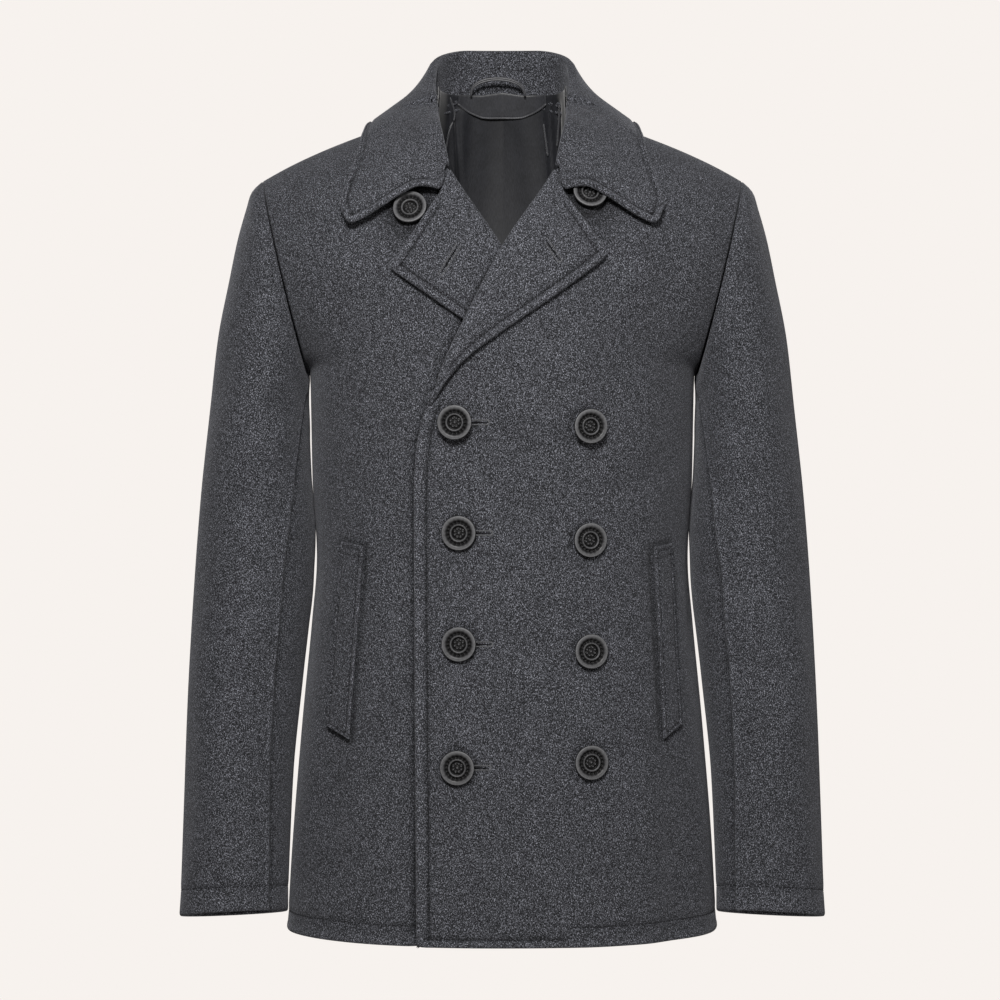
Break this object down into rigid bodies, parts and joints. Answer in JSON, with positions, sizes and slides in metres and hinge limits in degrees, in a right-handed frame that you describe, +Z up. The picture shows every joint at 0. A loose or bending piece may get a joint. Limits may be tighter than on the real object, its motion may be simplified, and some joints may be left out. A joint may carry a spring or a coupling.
{
  "type": "pea coat",
  "caption": "Hip-length double-breasted wool coat with broad lapels, turned-down collar, slanted welt pockets and set-in sleeves, filled out as if worn.",
  "frame": {"origin": "middle of the neck opening at the height of the sides of the neck, where the wearer's shoulders carry the coat", "axes": "+Z up the coat, from hem to collar; -Y is the buttoned front; +X is the wearer's left"},
  "size_m": [0.569, 0.2782, 0.7988],
  "materials": {
    "wool": "charcoal heather melton wool, matte with a short nap",
    "facing_satin": "dark grey satin, soft sheen",
    "lining_satin": "dark grey satin, soft sheen",
    "button_plastic": "black moulded plastic, semi-gloss"
  },
  "bodies": {
    "root": {"back": "wool", "front_left": "wool", "front_right": "wool", "lapel_left": "wool", "lapel_right": "wool", "collar_stand": "wool", "collar_fall": "wool", "sleeve_left_upper": "wool", "sleeve_left_under": "wool", "sleeve_right_upper": "wool", "sleeve_right_under": "wool", "welt_left": "wool", "welt_right": "wool", "button_right_1": "button_plastic", "button_right_2": "button_plastic", "button_right_3": "button_plastic", "button_right_4": "button_plastic", "button_left_1": "button_plastic", "button_left_2": "button_plastic", "button_left_3": "button_plastic", "button_left_4": "button_plastic", "button_collar_right": "button_plastic", "button_collar_left": "button_plastic", "hanger_loop": "facing_satin", "neck_facing": "facing_satin", "lining_back": "lining_satin", "lining_left": "lining_satin", "lining_right": "lining_satin"}
  },
  "joints": []
}
